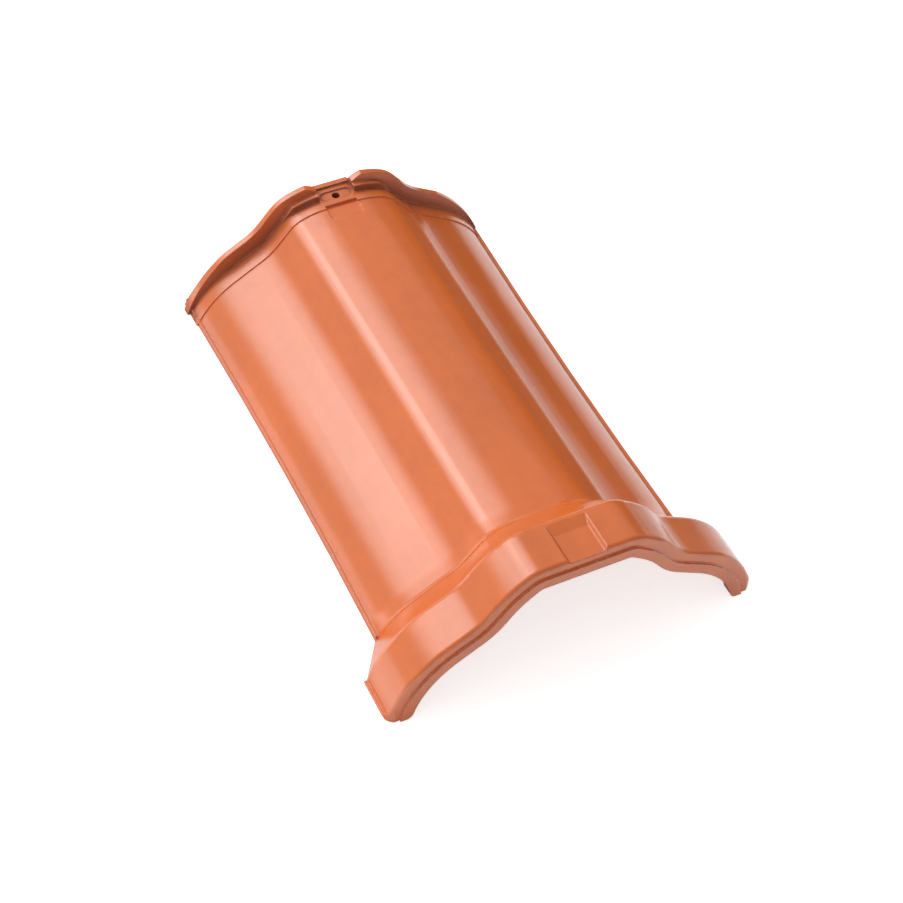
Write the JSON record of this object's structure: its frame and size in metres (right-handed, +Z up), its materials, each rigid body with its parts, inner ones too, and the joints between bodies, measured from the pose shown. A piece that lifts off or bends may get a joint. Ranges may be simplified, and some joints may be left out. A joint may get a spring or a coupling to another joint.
{
  "type": "clay ridge tile",
  "caption": "Arched fired clay ridge tile with fluted wings, a raised collar at one end and a weather rib and fixing hole at the other.",
  "frame": {"origin": "centre of the tile's footprint at floor level, midway between the front lip and the head end", "axes": "+Z up through the crown, +Y along the tile from the collar to the head end with the weather rib, +X across the tile"},
  "size_m": [0.2864, 0.425, 0.1104],
  "materials": {
    "fired_clay": "satin engobe"
  },
  "bodies": {
    "root": {"ridge_tile": "fired_clay"}
  },
  "joints": []
}
